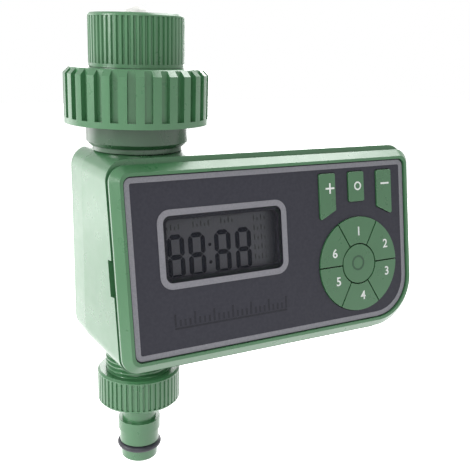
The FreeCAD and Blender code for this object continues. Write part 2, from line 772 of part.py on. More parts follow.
# Hose connector: ribbed nut and plug-in nozzle in one piece, its flat washer and its ring seal.
connector = turned("connector", [
    ("spigot_r + swivel_bore_gap", "connector_top"),
    ("connector_r - connector_chamfer", "connector_top"),
    ("connector_r", "connector_top - connector_chamfer"),
    ("connector_r", "nozzle_top + connector_chamfer"),
    ("connector_r - connector_chamfer", "nozzle_top"),
    ("nozzle_neck_r", "nozzle_top"),
    ("nozzle_neck_r", "collar_top"),
    ("collar_r", "collar_top"),
    ("collar_r", "collar_low"),
    ("nozzle_r", "collar_low"),
    ("nozzle_r", "ring_top"),
    ("ring_groove_r", "ring_top"),
    ("ring_groove_r", "ring_top - ring_tall"),
    ("tip_r", "ring_top - ring_tall"),
    ("tip_r", "nozzle_low + tip_chamfer"),
    ("tip_r - tip_chamfer", "nozzle_low"),
    ("nozzle_bore_r", "nozzle_low"),
    ("nozzle_bore_r", "nozzle_top + connector_floor"),
    ("spigot_r + swivel_bore_gap", "nozzle_top + connector_floor"),
])
slots_round(connector, "connector_slot", [
    ("connector_r - connector_rib_deep", "-connector_rib_floor"),
    ("connector_r + slot_over", "-connector_rib_gap"),
    ("connector_r + slot_over", "connector_rib_gap"),
    ("connector_r - connector_rib_deep", "connector_rib_floor"),
], "nozzle_top + connector_band", "connector_tall - 2 * connector_band", "connector_ribs")
keep(connector, "hose_connector")
keep(turned("flat_washer", [
    ("spigot_bore_r", "-spigot_drop"),
    ("spigot_r - 0.3", "-spigot_drop"),
    ("spigot_r - 0.3", "-spigot_drop - outlet_washer_thick"),
    ("spigot_bore_r", "-spigot_drop - outlet_washer_thick"),
]), "outlet_washer")
nose_ring = doc.addObject("Part::Torus", "nose_ring")
bind(nose_ring, Radius1="(ring_r + ring_groove_r) / 2", Radius2="(ring_r - ring_groove_r) / 2")
keep(put(nose_ring, "0", "0", "ring_top - ring_tall / 2"), "nozzle_ring")


def shell_outline(inset):
    """The housing's outline seen from the front, set in by a wall."""
    inset = f"({inset})"

    def draw(sketch):
        radii = ("corner_low_left", "corner_low_right", "corner_high_right", "corner_high_left")
        round_outline(
            sketch, f"housing_left + {inset}", f"housing_right - {inset}", f"housing_bottom + {inset}",
            f"housing_top - {inset}", [f"{rule} - {inset}" for rule in radii])
    return draw


# Front shell: a drafted sleeve cut off along the leaning face, with a finger notch in each side of its rim.
front_long = "(face_front + housing_tall * tan(lean))"
front_outer = padded("front_outer", shell_outline("0"), front_long, "-draft")
front_inner = padded("front_inner", shell_outline("wall"), f"{front_long} + 2", "-draft")
rim_level = "(-frame_back - gasket_thick)"
rim_cut = on_face(compound("rim_cut", box(
    "rim_block", "2 * frame_wide", "2 * frame_tall", "3 * face_front", "-frame_wide", "-frame_tall", rim_level)))
notch_boxes = [
    box(f"notch_{side}", "wall + 6", "notch_wide", "notch_into + 3", where, "-notch_wide / 2 - notch_low",
        f"{rim_level} - notch_into")
    for side, where in (("left", "-frame_wide / 2 - 4.4"), ("right", "frame_wide / 2 - 4.2"))
]
notches = on_face(fuse("notches", *notch_boxes))
neck_way = cylinder("neck_way", "waist_r + hole_gap", "wall + 4", "0", "0", "housing_top - wall - 2")
spigot_way = cylinder("spigot_way", "spigot_r + hole_gap + 0.2", "wall + 4", "0", "0", "housing_bottom - 2")
screw_spots = {
    "low_left": ("housing_left + 5.4", "housing_bottom + 9.0"),
    "high_left": ("housing_left + 5.4", "housing_top - 14.0"),
    "low_right": ("housing_right - 12.0", "housing_bottom + 12.0"),
    "high_right": ("housing_right - 7.5", "housing_top - 7.5"),
}


def screw_rods(name, radius, start, long):
    """One rod at each housing screw, running forwards from a depth behind the axis."""
    return [
        put(turn(cylinder(f"{name}_{word}", radius, long), (1, 0, 0), "90"), x, start, z)
        for word, (x, z) in screw_spots.items()
    ]


front_tube = cut("front_tube", upright(front_outer, "seam_back"), upright(front_inner, "seam_back + 1"))
bosses = [
    put(turn(cylinder(f"boss_{word}", "boss_r", "boss_long"), (1, 0, 0), "90"), x, "seam_back", z)
    for word, (x, z) in screw_spots.items()
]
boss_ties = [
    box(f"boss_tie_{word}", wide, "boss_long", tall, x, "seam_back - boss_long", z)
    for word, wide, tall, x, z in (
        ("low_left", "4.0", "2.0", "housing_left + 1.2", "housing_bottom + 8.0"),
        ("high_left", "4.0", "2.0", "housing_left + 1.2", "housing_top - 15.0"),
        ("low_right", "2.0", "12.0", "housing_right - 13.0", "housing_bottom + 1.2"),
        ("high_right", "7.0", "2.0", "housing_right - 8.2", "housing_top - 8.5"),
    )
]
front_solid = doc.addObject("Part::MultiCommon", "front_solid")
front_solid.Shapes = [fuse("front_joined", front_tube, *bosses, *boss_ties), front_outer]
keep(cut(
    "front", front_solid, rim_cut, notches, neck_way, spigot_way,
    *screw_rods("front_thread", "housing_screw_r", "seam_back + 1", "boss_long - 2")), "front_shell")

# Rear shell: a drafted tub with a big round along its back edge and four sunk screw heads.
rear_outer = padded("rear_outer", shell_outline("0"), "housing_deep", "-draft", True)
rear_inner = padded("rear_inner", shell_outline("wall"), "housing_deep - wall", "-draft", True)
for tub, rule in ((rear_outer, "rear_round"), (rear_inner, "rear_round - wall")):
    back = tub.Shape.BoundBox.ZMin
    ease(tub, "Fillet", rule, lambda edge: abs(edge.BoundBox.ZMax - back) < 0.01)
rear_posts = [
    put(turn(cylinder(f"post_{word}", "post_r", "housing_deep - 1"), (1, 0, 0), "90"), x,
        "seam_back + housing_deep - 1", z)
    for word, (x, z) in screw_spots.items()
]
rear_tub = cut("rear_tub", upright(rear_outer, "seam_back"), upright(rear_inner, "seam_back"))
rear_solid = doc.addObject("Part::MultiCommon", "rear_solid")
rear_solid.Shapes = [fuse("rear_joined", rear_tub, *rear_posts), rear_outer]
keep(cut(
    "rear", rear_solid, neck_way, spigot_way,
    *screw_rods("rear_way", "housing_screw_r + screw_gap", "seam_back + housing_deep + 1", "housing_deep + 2"),
    *screw_rods("rear_sink", "housing_screw_head_r + screw_gap", "seam_back + housing_deep + 1",
                "housing_screw_head_tall + 4")), "rear_shell")
screws = []
head_start = "(seam_back + housing_deep - 3.1)"
for word, (x, z) in screw_spots.items():
    rod = put(turn(cylinder(f"screw_rod_{word}", "housing_screw_r", "housing_deep + 8"), (1, 0, 0), "90"),
              x, head_start, z)
    head = put(turn(cylinder(f"screw_head_{word}", "housing_screw_head_r", "housing_screw_head_tall"),
                    (1, 0, 0), "90"), x, f"{head_start} + housing_screw_head_tall", z)
    screws.append(fuse(f"screw_{word}", rod, head))
keep(compound("shell_screws", *screws), "housing_screws")


def face_frame(name, bottom, tall, inset):
    """A plate of the control frame's outline, set in and with its corners reduced as far."""
    inset = f"({inset})"
    radii = [f"{rule} - {inset}" for rule in
             ("frame_corner", "frame_corner_big", "frame_corner", "frame_corner")]
    return round_plate(
        name, f"-frame_wide / 2 + {inset}", f"frame_wide / 2 - {inset}", f"-frame_tall / 2 + {inset}",
        f"frame_tall / 2 - {inset}", radii, bottom, tall)


# Gasket that shows as the dark line between the control frame and the housing.
keep(on_face(cut(
    "gasket", face_frame("gasket_outer", "-frame_back - gasket_thick", "gasket_thick", "gasket_inset"),
    face_frame("gasket_inner", "-frame_back - gasket_thick - 1", "gasket_thick + 2", "skirt_inset - fit_gap"),
)), "panel_gasket")

# Keys: three straight ones over a ring of six round a hub.
key_floor = "-frame_back - 1"
straight_keys = {
    "plus_key": ("-key_pitch", "key_low_outer", "key_low_inner"),
    "middle_key": ("0", "key_low_middle", "key_low_middle"),
    "minus_key": ("key_pitch", "key_low_inner", "key_low_outer"),
}


def straight_prism(name, key, grow, bottom, tall):
    grow = f"({grow})"
    shift, low_left, low_right = straight_keys[key]
    left = f"dial_mid + {shift} - key_wide / 2 - {grow}"
    right = f"dial_mid + {shift} + key_wide / 2 + {grow}"
    prism = padded(name, lambda sketch: polygon(sketch, [
        (left, f"{low_left} - {grow}"), (right, f"{low_right} - {grow}"),
        (right, f"key_top + {grow}"), (left, f"key_top + {grow}"),
    ]), tall)
    ease(prism, "Fillet", f"key_corner + {grow}",
         lambda edge: edge.BoundBox.ZLength > size(tall) - 0.01 and edge.BoundBox.DiagonalLength < size(tall) + 0.01)
    return put(prism, "0", "0", bottom)


key_openings = []
for key in straight_keys:
    stalk = straight_prism(f"{key}_stalk", key, "0", "key_back", "key_proud - key_back")
    web = straight_prism(f"{key}_web", key, "key_web_wide", "key_back", "key_web_thick")
    keep(on_face(fuse(f"{key}_solid", stalk, web)), key)
    key_openings.append(straight_prism(f"{key}_opening", key, "key_gap", key_floor, "frame_back + 4"))

hub = cylinder("hub", "hub_r", "key_proud - key_back", "dial_mid", "dial_up", "key_back")
keep(on_face(compound("hub_only", hub)), "hub_key")
hub_way = cylinder("hub_way", "hub_r + sector_gap", "20", "dial_mid", "dial_up", "-10")
spokes = [
    put(turn(compound(f"spoke_{third}", box(
        f"spoke_bar_{third}", "4 * dial_r", "sector_gap", "20", "-2 * dial_r", "-sector_gap / 2", "-10")),
        (0, 0, 1), f"{third} * 60"), "dial_mid", "dial_up", "0")
    for third in range(3)
]
sector_cutter = fuse("sector_cutter", hub_way, *spokes)
for sixth in range(6):
    slices = []
    for word, radius, bottom, tall in (
        ("cap", "dial_r", "key_back", "key_proud - key_back"),
        ("web", "dial_r + key_gap + key_web_wide", "key_back", "key_web_thick"),
    ):
        pie = cylinder(f"sector_{word}_{sixth}", radius, tall, "dial_mid", "dial_up", bottom)
        pie.Angle = 60
        slices.append(turn(pie, (0, 0, 1), f"{sixth} * 60"))
    keep(on_face(cut(f"sector_{sixth}", fuse(f"sector_both_{sixth}", *slices), sector_cutter)),
         f"sector_key_{sixth + 1}")
key_openings.append(cylinder("dial_opening", "dial_r + key_gap", "frame_back + 4", "dial_mid", "dial_up", key_floor))

# Faceplate, window and the parts behind them.
plate_radii = ("plate_corner", "plate_corner_big", "plate_corner", "plate_corner")


def plate_outline(name, grow, bottom, tall):
    grow = f"({grow})"
    return round_plate(
        name, f"-plate_wide / 2 - {grow}", f"plate_wide / 2 + {grow}", f"-plate_tall / 2 - {grow}",
        f"plate_tall / 2 + {grow}", [f"{rule} + {grow}" for rule in plate_radii], bottom, tall)


def window_outline(name, grow, bottom, tall):
    grow = f"({grow})"
    return round_plate(
        name, f"window_mid - window_wide / 2 - {grow}", f"window_mid + window_wide / 2 + {grow}",
        f"window_up - window_tall / 2 - {grow}", f"window_up + window_tall / 2 + {grow}",
        [f"window_corner + {grow}"] * 4, bottom, tall)


keep(on_face(cut(
    "plate", plate_outline("plate_blank", "0", "-plate_thick", "plate_thick"),
    window_outline("plate_window", "0.05", "-plate_thick - 1", "plate_thick + 2"), *key_openings)), "faceplate")
window = window_outline("window", "0", "-plate_thick", "plate_thick - window_sink")
keep(on_face(compound("window_only", window)), "display_window")
glass = window_outline("glass", "1.5", "panel_back - glass_thick - 0.1", "glass_thick")
keep(on_face(compound("glass_only", glass)), "display_glass")
strips = [
    box(f"strip_{side}", "window_wide - 2", "strip_wide", "board_deep - frame_back - glass_thick - 0.1",
        "window_mid - window_wide / 2 + 1", where, "board_top")
    for side, where in (("high", "window_up + window_tall / 2 - strip_wide"), ("low", "window_up - window_tall / 2"))
]
keep(on_face(compound("strips", *strips)), "display_strips")

# Control frame: bevelled surround, front panel with the key and window openings, and a skirt into the housing.
surround = face_frame("surround", "-frame_back", "frame_back + frame_proud", "0")
ease(surround, "Chamfer", "frame_chamfer",
     lambda edge: abs(edge.BoundBox.ZMin - size("frame_back + frame_proud")) < 0.01)
skirt_block = face_frame("skirt_block", "skirt_back", "skirt_long + 0.5", "skirt_inset")
skirt_hollow = face_frame("skirt_hollow", "skirt_back - 1", "skirt_long + 1", "skirt_inset + skirt_wall")
recess = plate_outline("recess", "plate_gap", "-plate_thick", "plate_thick + frame_proud + 1")
window_hole = window_outline("window_hole", "-window_ledge", "-frame_back - 1", "frame_back + 2")
keep(on_face(cut(
    "module", fuse("module_solid", surround, skirt_block), skirt_hollow, recess, window_hole, *key_openings)),
    "module_frame")

board_blank = face_frame(
    "board_blank", "board_top - board_thick", "board_thick", "skirt_inset + skirt_wall + board_gap")
keep(on_face(compound("board_only", board_blank)), "circuit_board")
switch_spots = [("dial_mid + " + shift, "(key_top + key_low_middle) / 2") for shift in ("-key_pitch", "0", "key_pitch")]
switch_spots.append(("dial_mid", "dial_up"))
switch_spots += [
    (f"dial_mid + switch_spot_r * cos({60 * sixth + 30})", f"dial_up + switch_spot_r * sin({60 * sixth + 30})")
    for sixth in range(6)
]
switches = []
for number, (x, y) in enumerate(switch_spots):
    base = box(f"switch_base_{number}", "switch_side", "switch_side", "switch_tall",
               f"{x} - switch_side / 2", f"{y} - switch_side / 2", "board_top")
    plunger = cylinder(f"switch_plunger_{number}", "plunger_r", "plunger_top - board_top", x, y, "board_top")
    switches.append(fuse(f"switch_{number}", base, plunger))
keep(on_face(compound("switches", *switches)), "key_switches")

# Battery tray: closes the frame from behind and holds two cells that lift out backwards.
tray_lid = face_frame("tray_lid", "tray_top", "tray_plate", "skirt_inset")
tray_box = box(
    "tray_box", "tray_long + 2 * tray_wall", "2 * cell_pitch + 2 * tray_wall", "tray_deep",
    "tray_near", "-cell_pitch - tray_wall", "tray_floor")
tray_room = box(
    "tray_room", "tray_long", "2 * cell_pitch", "tray_deep + 1",
    "tray_near + tray_wall", "-cell_pitch", "tray_floor - 1")
keep(on_face(cut("tray", fuse("tray_solid", tray_lid, tray_box), tray_room)), "battery_tray")
cell_start = "(tray_near + tray_wall + contact_thick + 2.4)"
for number, (word, lift, flip) in enumerate((("upper", "cell_pitch / 2", 0), ("lower", "-cell_pitch / 2", 1))):
    level = "(tray_top - cell_r - 0.3)"
    can = cylinder(f"cell_can_{word}", "cell_r", "cell_long")
    nub = cylinder(f"cell_nub_{word}", "cell_nub_r", "cell_nub_long + 0.2", "0", "0", "cell_long - 0.2")
    cell = fuse(f"cell_{word}", can, nub)
    turned_cell = turn(cell, (0, 1, 0), "90")
    if flip:
        turned_cell = turn(cell, (0, 1, 0), "-90")
    start = f"{cell_start} + {flip} * (cell_long + cell_nub_long - 1)"
    put(turned_cell, start, lift, level)
    keep(on_face(compound(f"battery_{word}_set", cell)), f"{word}_battery")
ends = []
springs = []
for side, where in (("near", "tray_near + tray_wall"), ("far", "tray_near + tray_wall + tray_long - contact_thick")):
    for word, lift in (("upper", "0.7"), ("lower", "-cell_pitch + 0.7")):
        ends.append(box(f"contact_{side}_{word}", "contact_thick", "cell_pitch - 1.4", "tray_deep - 2.4",
                        where, lift, "tray_floor + 2"))
keep(on_face(compound("contacts", *ends)), "battery_contacts")
for word, lift, where in (
    ("upper", "cell_pitch / 2", "tray_near + tray_wall + contact_thick"),
    ("lower", "-cell_pitch / 2", "tray_near + tray_wall + tray_long - contact_thick - 1.8"),
):
    coil = cut(f"spring_{word}",
               cylinder(f"spring_out_{word}", "spring_r", "1.8"),
               cylinder(f"spring_in_{word}", "spring_r - spring_wire", "4", "0", "0", "-1"))
    springs.append(put(turn(coil, (0, 1, 0), "90"), where, lift, "(tray_top - cell_r - 0.3)"))
keep(on_face(compound("spring_pair", *springs)), "battery_springs")

doc.recompute()
for thing in doc.Objects:
    faults = [state for state in thing.State if state in ("Invalid", "Error")]
    if faults:
        raise RuntimeError(f"{thing.Label} failed: {faults}")
os.makedirs("parts", exist_ok=True)
for node in NODES:
    if node.Shape.isNull() or not node.Shape.isValid():
        raise RuntimeError(f"{node.Label} has no valid shape")
    node.Shape.exportStep(f"parts/{node.Label}.step")
    print(node.Label, len(node.Shape.Solids), round(node.Shape.Volume, 1))
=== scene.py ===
import json
import math

import bmesh
import bpy
from mathutils import Matrix, Vector

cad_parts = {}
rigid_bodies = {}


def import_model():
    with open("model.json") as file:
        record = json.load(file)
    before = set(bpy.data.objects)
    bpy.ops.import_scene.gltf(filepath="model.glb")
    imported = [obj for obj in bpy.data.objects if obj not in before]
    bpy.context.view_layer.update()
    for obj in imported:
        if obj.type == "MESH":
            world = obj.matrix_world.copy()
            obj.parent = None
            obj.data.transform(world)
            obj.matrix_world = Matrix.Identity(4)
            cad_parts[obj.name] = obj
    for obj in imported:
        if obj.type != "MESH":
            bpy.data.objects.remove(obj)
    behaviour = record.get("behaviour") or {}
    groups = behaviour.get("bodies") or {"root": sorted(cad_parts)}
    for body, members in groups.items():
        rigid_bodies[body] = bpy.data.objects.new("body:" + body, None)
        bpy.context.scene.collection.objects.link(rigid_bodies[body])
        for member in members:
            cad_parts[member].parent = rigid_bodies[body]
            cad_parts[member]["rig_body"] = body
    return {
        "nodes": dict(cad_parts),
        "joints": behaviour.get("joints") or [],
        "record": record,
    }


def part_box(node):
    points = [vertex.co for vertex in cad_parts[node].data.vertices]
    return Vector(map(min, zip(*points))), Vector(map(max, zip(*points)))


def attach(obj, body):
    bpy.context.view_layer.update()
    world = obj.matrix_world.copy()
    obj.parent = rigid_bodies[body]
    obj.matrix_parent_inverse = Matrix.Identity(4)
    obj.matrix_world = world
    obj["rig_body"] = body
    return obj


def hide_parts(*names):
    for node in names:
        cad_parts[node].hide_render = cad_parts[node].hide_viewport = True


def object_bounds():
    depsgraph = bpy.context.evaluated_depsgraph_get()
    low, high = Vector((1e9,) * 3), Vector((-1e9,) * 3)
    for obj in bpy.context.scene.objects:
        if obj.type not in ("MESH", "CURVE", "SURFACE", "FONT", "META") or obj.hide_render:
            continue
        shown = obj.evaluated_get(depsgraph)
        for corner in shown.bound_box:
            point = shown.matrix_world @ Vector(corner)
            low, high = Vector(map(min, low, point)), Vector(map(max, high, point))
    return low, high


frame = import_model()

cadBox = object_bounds()
nodes = frame["nodes"]
mm = 0.001
print("frame loaded with", len(nodes), "nodes")

# the control face: middle, width axis, height axis and the way out of it
plateThick = 0.8 * mm
modulePull = next(joint for joint in frame["joints"] if joint["name"] == "module_pull")
faceOut = Vector(modulePull["axis"]).normalized()
faceAcross = Vector((1, 0, 0))
faceUp = faceOut.cross(faceAcross)
plateLow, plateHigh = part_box("faceplate")
faceMid = (plateLow + plateHigh) / 2 + faceOut * plateThick / 2
facePlace = Matrix((faceAcross, faceUp, faceOut)).transposed().to_4x4()
facePlace.translation = faceMid


# materials

noiseSpans = {"colour": (0.35, 0.65), "roughness": (0.3, 0.7)}  # the stretch of the noise that is used


def startMaterial(name, colour, roughness, metallic=0.0, specular=0.5):
    material = bpy.data.materials.new(name)
    material.use_nodes = True
    shader = material.node_tree.nodes["Principled BSDF"]
    shader.inputs["Base Color"].default_value = (*colour, 1)
    shader.inputs["Roughness"].default_value = roughness
    shader.inputs["Metallic"].default_value = metallic
    shader.inputs["Specular IOR Level"].default_value = specular
    return material, material.node_tree, shader


def addNoise(tree, scale, detail=3.0, stretch=None):
    place = tree.nodes.new("ShaderNodeTexCoord")
    noise = tree.nodes.new("ShaderNodeTexNoise")
    noise.inputs["Scale"].default_value = scale
    noise.inputs["Detail"].default_value = detail
    source = place.outputs["Object"]
    if stretch:
        mapping = tree.nodes.new("ShaderNodeMapping")
        mapping.inputs["Scale"].default_value = stretch
        tree.links.new(source, mapping.inputs["Vector"])
        source = mapping.outputs["Vector"]
    tree.links.new(source, noise.inputs["Vector"])
    return noise


def tint(tree, shader, dark, light, scale, detail=3.0, stretch=None):
    noise = addNoise(tree, scale, detail, stretch)
    ramp = tree.nodes.new("ShaderNodeValToRGB")
    for stop, position, colour in zip(ramp.color_ramp.elements, noiseSpans["colour"], (dark, light)):
        stop.position = position
        stop.color = (*colour, 1)
    tree.links.new(noise.outputs["Fac"], ramp.inputs["Fac"])
    tree.links.new(ramp.outputs["Color"], shader.inputs["Base Color"])


def scuff(tree, shader, low, high, scale, stretch=None):
    noise = addNoise(tree, scale, 4.0, stretch)
    span = tree.nodes.new("ShaderNodeMapRange")
    span.inputs["From Min"].default_value, span.inputs["From Max"].default_value = noiseSpans["roughness"]
    span.inputs["To Min"].default_value = low
    span.inputs["To Max"].default_value = high
    tree.links.new(noise.outputs["Fac"], span.inputs["Value"])
    tree.links.new(span.outputs["Result"], shader.inputs["Roughness"])


def grain(tree, shader, scale, deep, strength=0.5, stretch=None):
    noise = addNoise(tree, scale, 2.0, stretch)
    bump = tree.nodes.new("ShaderNodeBump")
    bump.inputs["Strength"].default_value = strength
    bump.inputs["Distance"].default_value = deep
    tree.links.new(noise.outputs["Fac"], bump.inputs["Height"])
    tree.links.new(bump.outputs["Normal"], shader.inputs["Normal"])


greenLook = {
    "dark": (0.053, 0.172, 0.072),
    "light": (0.058, 0.184, 0.079),
    "smooth": 0.26,
    "dull": 0.33,
    "specular": 0.6,
    "skin": 0.25,
    "skinRough": 0.22,
    "grainSize": 2600,
    "grainDeep": 0.012 * mm,
    "patchSize": 45,
    "scuffSize": 160,
}


def mouldedGreen(name, lift=1.0):
    dark = tuple(channel * lift for channel in greenLook["dark"])
    light = tuple(channel * lift for channel in greenLook["light"])
    material, tree, shader = startMaterial(name, light, greenLook["dull"], 0.0, greenLook["specular"])
    shader.inputs["Coat Weight"].default_value = greenLook["skin"]
    shader.inputs["Coat Roughness"].default_value = greenLook["skinRough"]
    tint(tree, shader, dark, light, greenLook["patchSize"])
    scuff(tree, shader, greenLook["smooth"], greenLook["dull"], greenLook["scuffSize"])
    grain(tree, shader, greenLook["grainSize"], greenLook["grainDeep"])
    return material


# one noise for colour, a finer one for gloss and the finest for grain
def simpleLook(name, dark, light, roughness, scale, metallic=0.0, specular=0.5, deep=0.02 * mm, stretch=None):
    material, tree, shader = startMaterial(name, light, roughness, metallic, specular)
    tint(tree, shader, dark, light, scale, 4.0, stretch)
    scuff(tree, shader, roughness * 0.85, min(1.0, roughness * 1.2), scale * 2, stretch)
    grain(tree, shader, scale * 12, deep, 0.4, stretch)
    return material


displayLook = {
    "lit": (0.165, 0.166, 0.185),
    # the darker colour and the two spans below it are painted shade on the cell towards its right and lower
    # edges
    "paintedShadeColour": (0.016, 0.018, 0.028),
    "paintedShadeRight": (-7.0, 1.0),
    "paintedShadeLow": (-4.4, -7.6),
    "rough": 0.35,
    "shine": 0.15,
}


# a grey cell with painted shade: it darkens towards its right and lower edges, where the recess of the window
# shades it
def displayCell():
    look = displayLook
    material, tree, shader = startMaterial("displayCell", look["lit"], look["rough"], 0.0, look["shine"])
    place = tree.nodes.new("ShaderNodeTexCoord")
    split = tree.nodes.new("ShaderNodeSeparateXYZ")
    tree.links.new(place.outputs["Object"], split.inputs["Vector"])
    paintedShades = []
    for axis, fade in (("X", "paintedShadeRight"), ("Z", "paintedShadeLow")):
        start, end = look[fade]
        middle = faceMid.x if axis == "X" else faceMid.z
        span = tree.nodes.new("ShaderNodeMapRange")
        span.interpolation_type = "SMOOTHSTEP"
        span.inputs["From Min"].default_value = middle + start * mm
        span.inputs["From Max"].default_value = middle + end * mm
        tree.links.new(split.outputs[axis], span.inputs["Value"])
        paintedShades.append(span)
    both = tree.nodes.new("ShaderNodeMath")
    both.operation = "MAXIMUM"
    tree.links.new(paintedShades[0].outputs["Result"], both.inputs[0])
    tree.links.new(paintedShades[1].outputs["Result"], both.inputs[1])
    mix = tree.nodes.new("ShaderNodeMix")
    mix.data_type = "RGBA"
    mix.inputs["A"].default_value = (*look["lit"], 1)
    mix.inputs["B"].default_value = (*look["paintedShadeColour"], 1)
    tree.links.new(both.outputs["Value"], mix.inputs["Factor"])
    tree.links.new(mix.outputs["Result"], shader.inputs["Base Color"])
    grain(tree, shader, 1800, 0.01 * mm, 0.3)
    return material


clearLook = {
    "colour": (0.02, 0.022, 0.026), "alpha": 0.2, "shine": 0.2, "rough": (0.05, 0.12), "scuffSize": 400,
}


def clearSheet():
    look = clearLook
    material, tree, shader = startMaterial("clearSheet", look["colour"], look["rough"][0], 0.0, look["shine"])
    shader.inputs["Alpha"].default_value = look["alpha"]
    scuff(tree, shader, *look["rough"], look["scuffSize"])
    material.surface_render_method = "BLENDED"
    return material


looks = {
    "green": mouldedGreen("mouldedGreen"),
    "keyGreen": mouldedGreen("keyGreen", 0.9),
    # a darker copy of the same green, painted shade for the neck in the swivel nut's shadow
    "neckGreenPaintedShade": mouldedGreen("neckGreenPaintedShade", 0.42),
    "facePrint": simpleLook("facePrint", (0.026, 0.026, 0.037), (0.033, 0.033, 0.045), 0.5, 900, 0, 0.3),
    "silverPrint": simpleLook("silverPrint", (0.21, 0.21, 0.236), (0.25, 0.247, 0.274), 0.42, 1500, 0.15),
    "faintInk": simpleLook("faintInk", (0.052, 0.058, 0.060), (0.075, 0.083, 0.085), 0.4, 800, 0, 0.3),
    "ink": simpleLook("ink", (0.006, 0.007, 0.015), (0.010, 0.011, 0.020), 0.5, 800, 0, 0.1),
    "deepInk": simpleLook("deepInk", (0.012, 0.012, 0.018), (0.018, 0.018, 0.026), 0.5, 800, 0, 0.3),
    "legendInk": simpleLook("legendInk", (0.74, 0.78, 0.75), (0.86, 0.89, 0.87), 0.45, 900),
    # a darker green for the hub key's ring, painted shade for the inside of an engraved line
    "paintedGrooveShade": simpleLook("paintedGrooveShade", (0.022, 0.07, 0.035), (0.03, 0.085, 0.042), 0.5, 900),
    "display": displayCell(),
    "clear": clearSheet(),
    # dark green gasket: partly its own rubber, partly painted shade for the groove between the frame and the
    # housing
    "gasket": simpleLook("gasketRubberAndGrooveShade", (0.012, 0.036, 0.018), (0.018, 0.050, 0.025), 0.55, 300, 0, 0.4),
    "rubber": simpleLook("softRubber", (0.018, 0.018, 0.026), (0.034, 0.033, 0.046), 0.5, 350, 0, 0.5),
    "whiteRubber": simpleLook("whiteRubber", (0.6, 0.6, 0.56), (0.7, 0.7, 0.66), 0.6, 350),
    "white": simpleLook("naturalPlastic", (0.66, 0.66, 0.63), (0.75, 0.75, 0.72), 0.4, 120),
    "board": simpleLook("lacqueredBoard", (0.015, 0.10, 0.035), (0.03, 0.15, 0.055), 0.28, 220),
    "black": simpleLook("blackPlastic", (0.02, 0.02, 0.02), (0.032, 0.032, 0.032), 0.45, 300),
    "jacket": simpleLook("cellJacket", (0.03, 0.08, 0.22), (0.045, 0.11, 0.28), 0.3, 90, 0.3),
    "plated": simpleLook("platedSteel", (0.26, 0.26, 0.255), (0.36, 0.36, 0.35), 0.4, 300, 1.0),
    "rolled": simpleLook("rolledSteel", (0.42, 0.42, 0.42), (0.56, 0.56, 0.55), 0.34, 160, 1.0,
                         stretch=(1, 14, 14)),
}

slotLooks = {
    "green_plastic": "green", "face_print": "facePrint", "clear_window": "clear", "display": "display",
    "white_plastic": "white", "black_rubber": "rubber", "white_rubber": "whiteRubber",
    "board_lacquer": "board", "switch_plastic": "black", "cell_jacket": "jacket",
    "spring_steel": "plated", "motor_can": "rolled", "screw_steel": "plated",
}
nodeSlots = {row["node"]: row["material_slot"] for row in frame["record"]["subparts"]}


def paint(thing, look):
    thing.data.materials.clear()
    thing.data.materials.append(looks[look])


for name, node in nodes.items():
    paint(node, "keyGreen" if "key" in name and name != "key_switches" else slotLooks[nodeSlots[name]])
# the gasket's dark green is partly its rubber and partly painted shade for the groove between frame and
# housing
paint(nodes["panel_gasket"], "gasket")
# the valve body's neck gets the darker green as painted shade for the shadow under the swivel nut
paint(nodes["valve_body"], "neckGreenPaintedShade")
print("materials made and given to the nodes")


# visible moulded pieces with their edges eased, each in its node's place

# widths of the small bevels, in millimetres
softEdges = {
    "swivel_nut": 0.28, "reducer": 0.18, "valve_body": 0.35, "hose_connector": 0.16, "front_shell": 0.35,
    "rear_shell": 0.35, "module_frame": 0.3, "plus_key": 0.22, "middle_key": 0.22, "minus_key": 0.22,
    "hub_key": 0.16, "sector_key_1": 0.12, "sector_key_2": 0.12, "sector_key_3": 0.12, "sector_key_4": 0.12,
    "sector_key_5": 0.12, "sector_key_6": 0.12, "battery_tray": 0.3, "inlet_strainer": 0.12,
}
flatLimit = math.radians(0.4)
edgeLimit = math.radians(32)
mergeGap = 0.002 * mm


# smooth faces, parted where the surface really turns
def smoothByEdges(mesh):
    shape = bmesh.new()
    shape.from_mesh(mesh)
    for face in shape.faces:
        face.smooth = True
    for edge in shape.edges:
        edge.smooth = len(edge.link_faces) == 2 and edge.calc_face_angle(0.0) < edgeLimit
    shape.to_mesh(mesh)
    shape.free()


# a copy of a node's mesh with joined flats and a small bevel on every real edge
def eased(node, width):
    source = nodes[node]
    mesh = source.data.copy()
    name = node.replace("_", "-") + "-moulded"
    mesh.name = name
    shape = bmesh.new()
    shape.from_mesh(mesh)
    bmesh.ops.remove_doubles(shape, verts=shape.verts, dist=mergeGap)
    bmesh.ops.dissolve_limit(shape, angle_limit=flatLimit, verts=shape.verts, edges=shape.edges)
    shape.to_mesh(mesh)
    shape.free()
    if mesh.has_custom_normals:
        mesh.attributes.remove(mesh.attributes["custom_normal"])
    piece = bpy.data.objects.new(name, mesh)
    bpy.context.scene.collection.objects.link(piece)
    bevel = piece.modifiers.new("edges", "BEVEL")
    bevel.width = width * mm
    bevel.segments = 2
    bevel.limit_method = "ANGLE"
    bevel.angle_limit = edgeLimit
    bevel.use_clamp_overlap = True
    bevel.harden_normals = True
    smoothByEdges(mesh)
    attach(piece, source["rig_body"])
    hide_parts(node)
    return piece


moulded = {node: eased(node, width) for node, width in softEdges.items()}
print("moulded pieces eased:", len(moulded))


# flat pieces on the control face

def newPiece(name, shape, body, look):
    mesh = bpy.data.meshes.new(name)
    bmesh.ops.recalc_face_normals(shape, faces=shape.faces)
    shape.to_mesh(mesh)
    shape.free()
    piece = bpy.data.objects.new(name, mesh)
    bpy.context.scene.collection.objects.link(piece)
    paint(piece, look)
    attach(piece, body)
    return piece


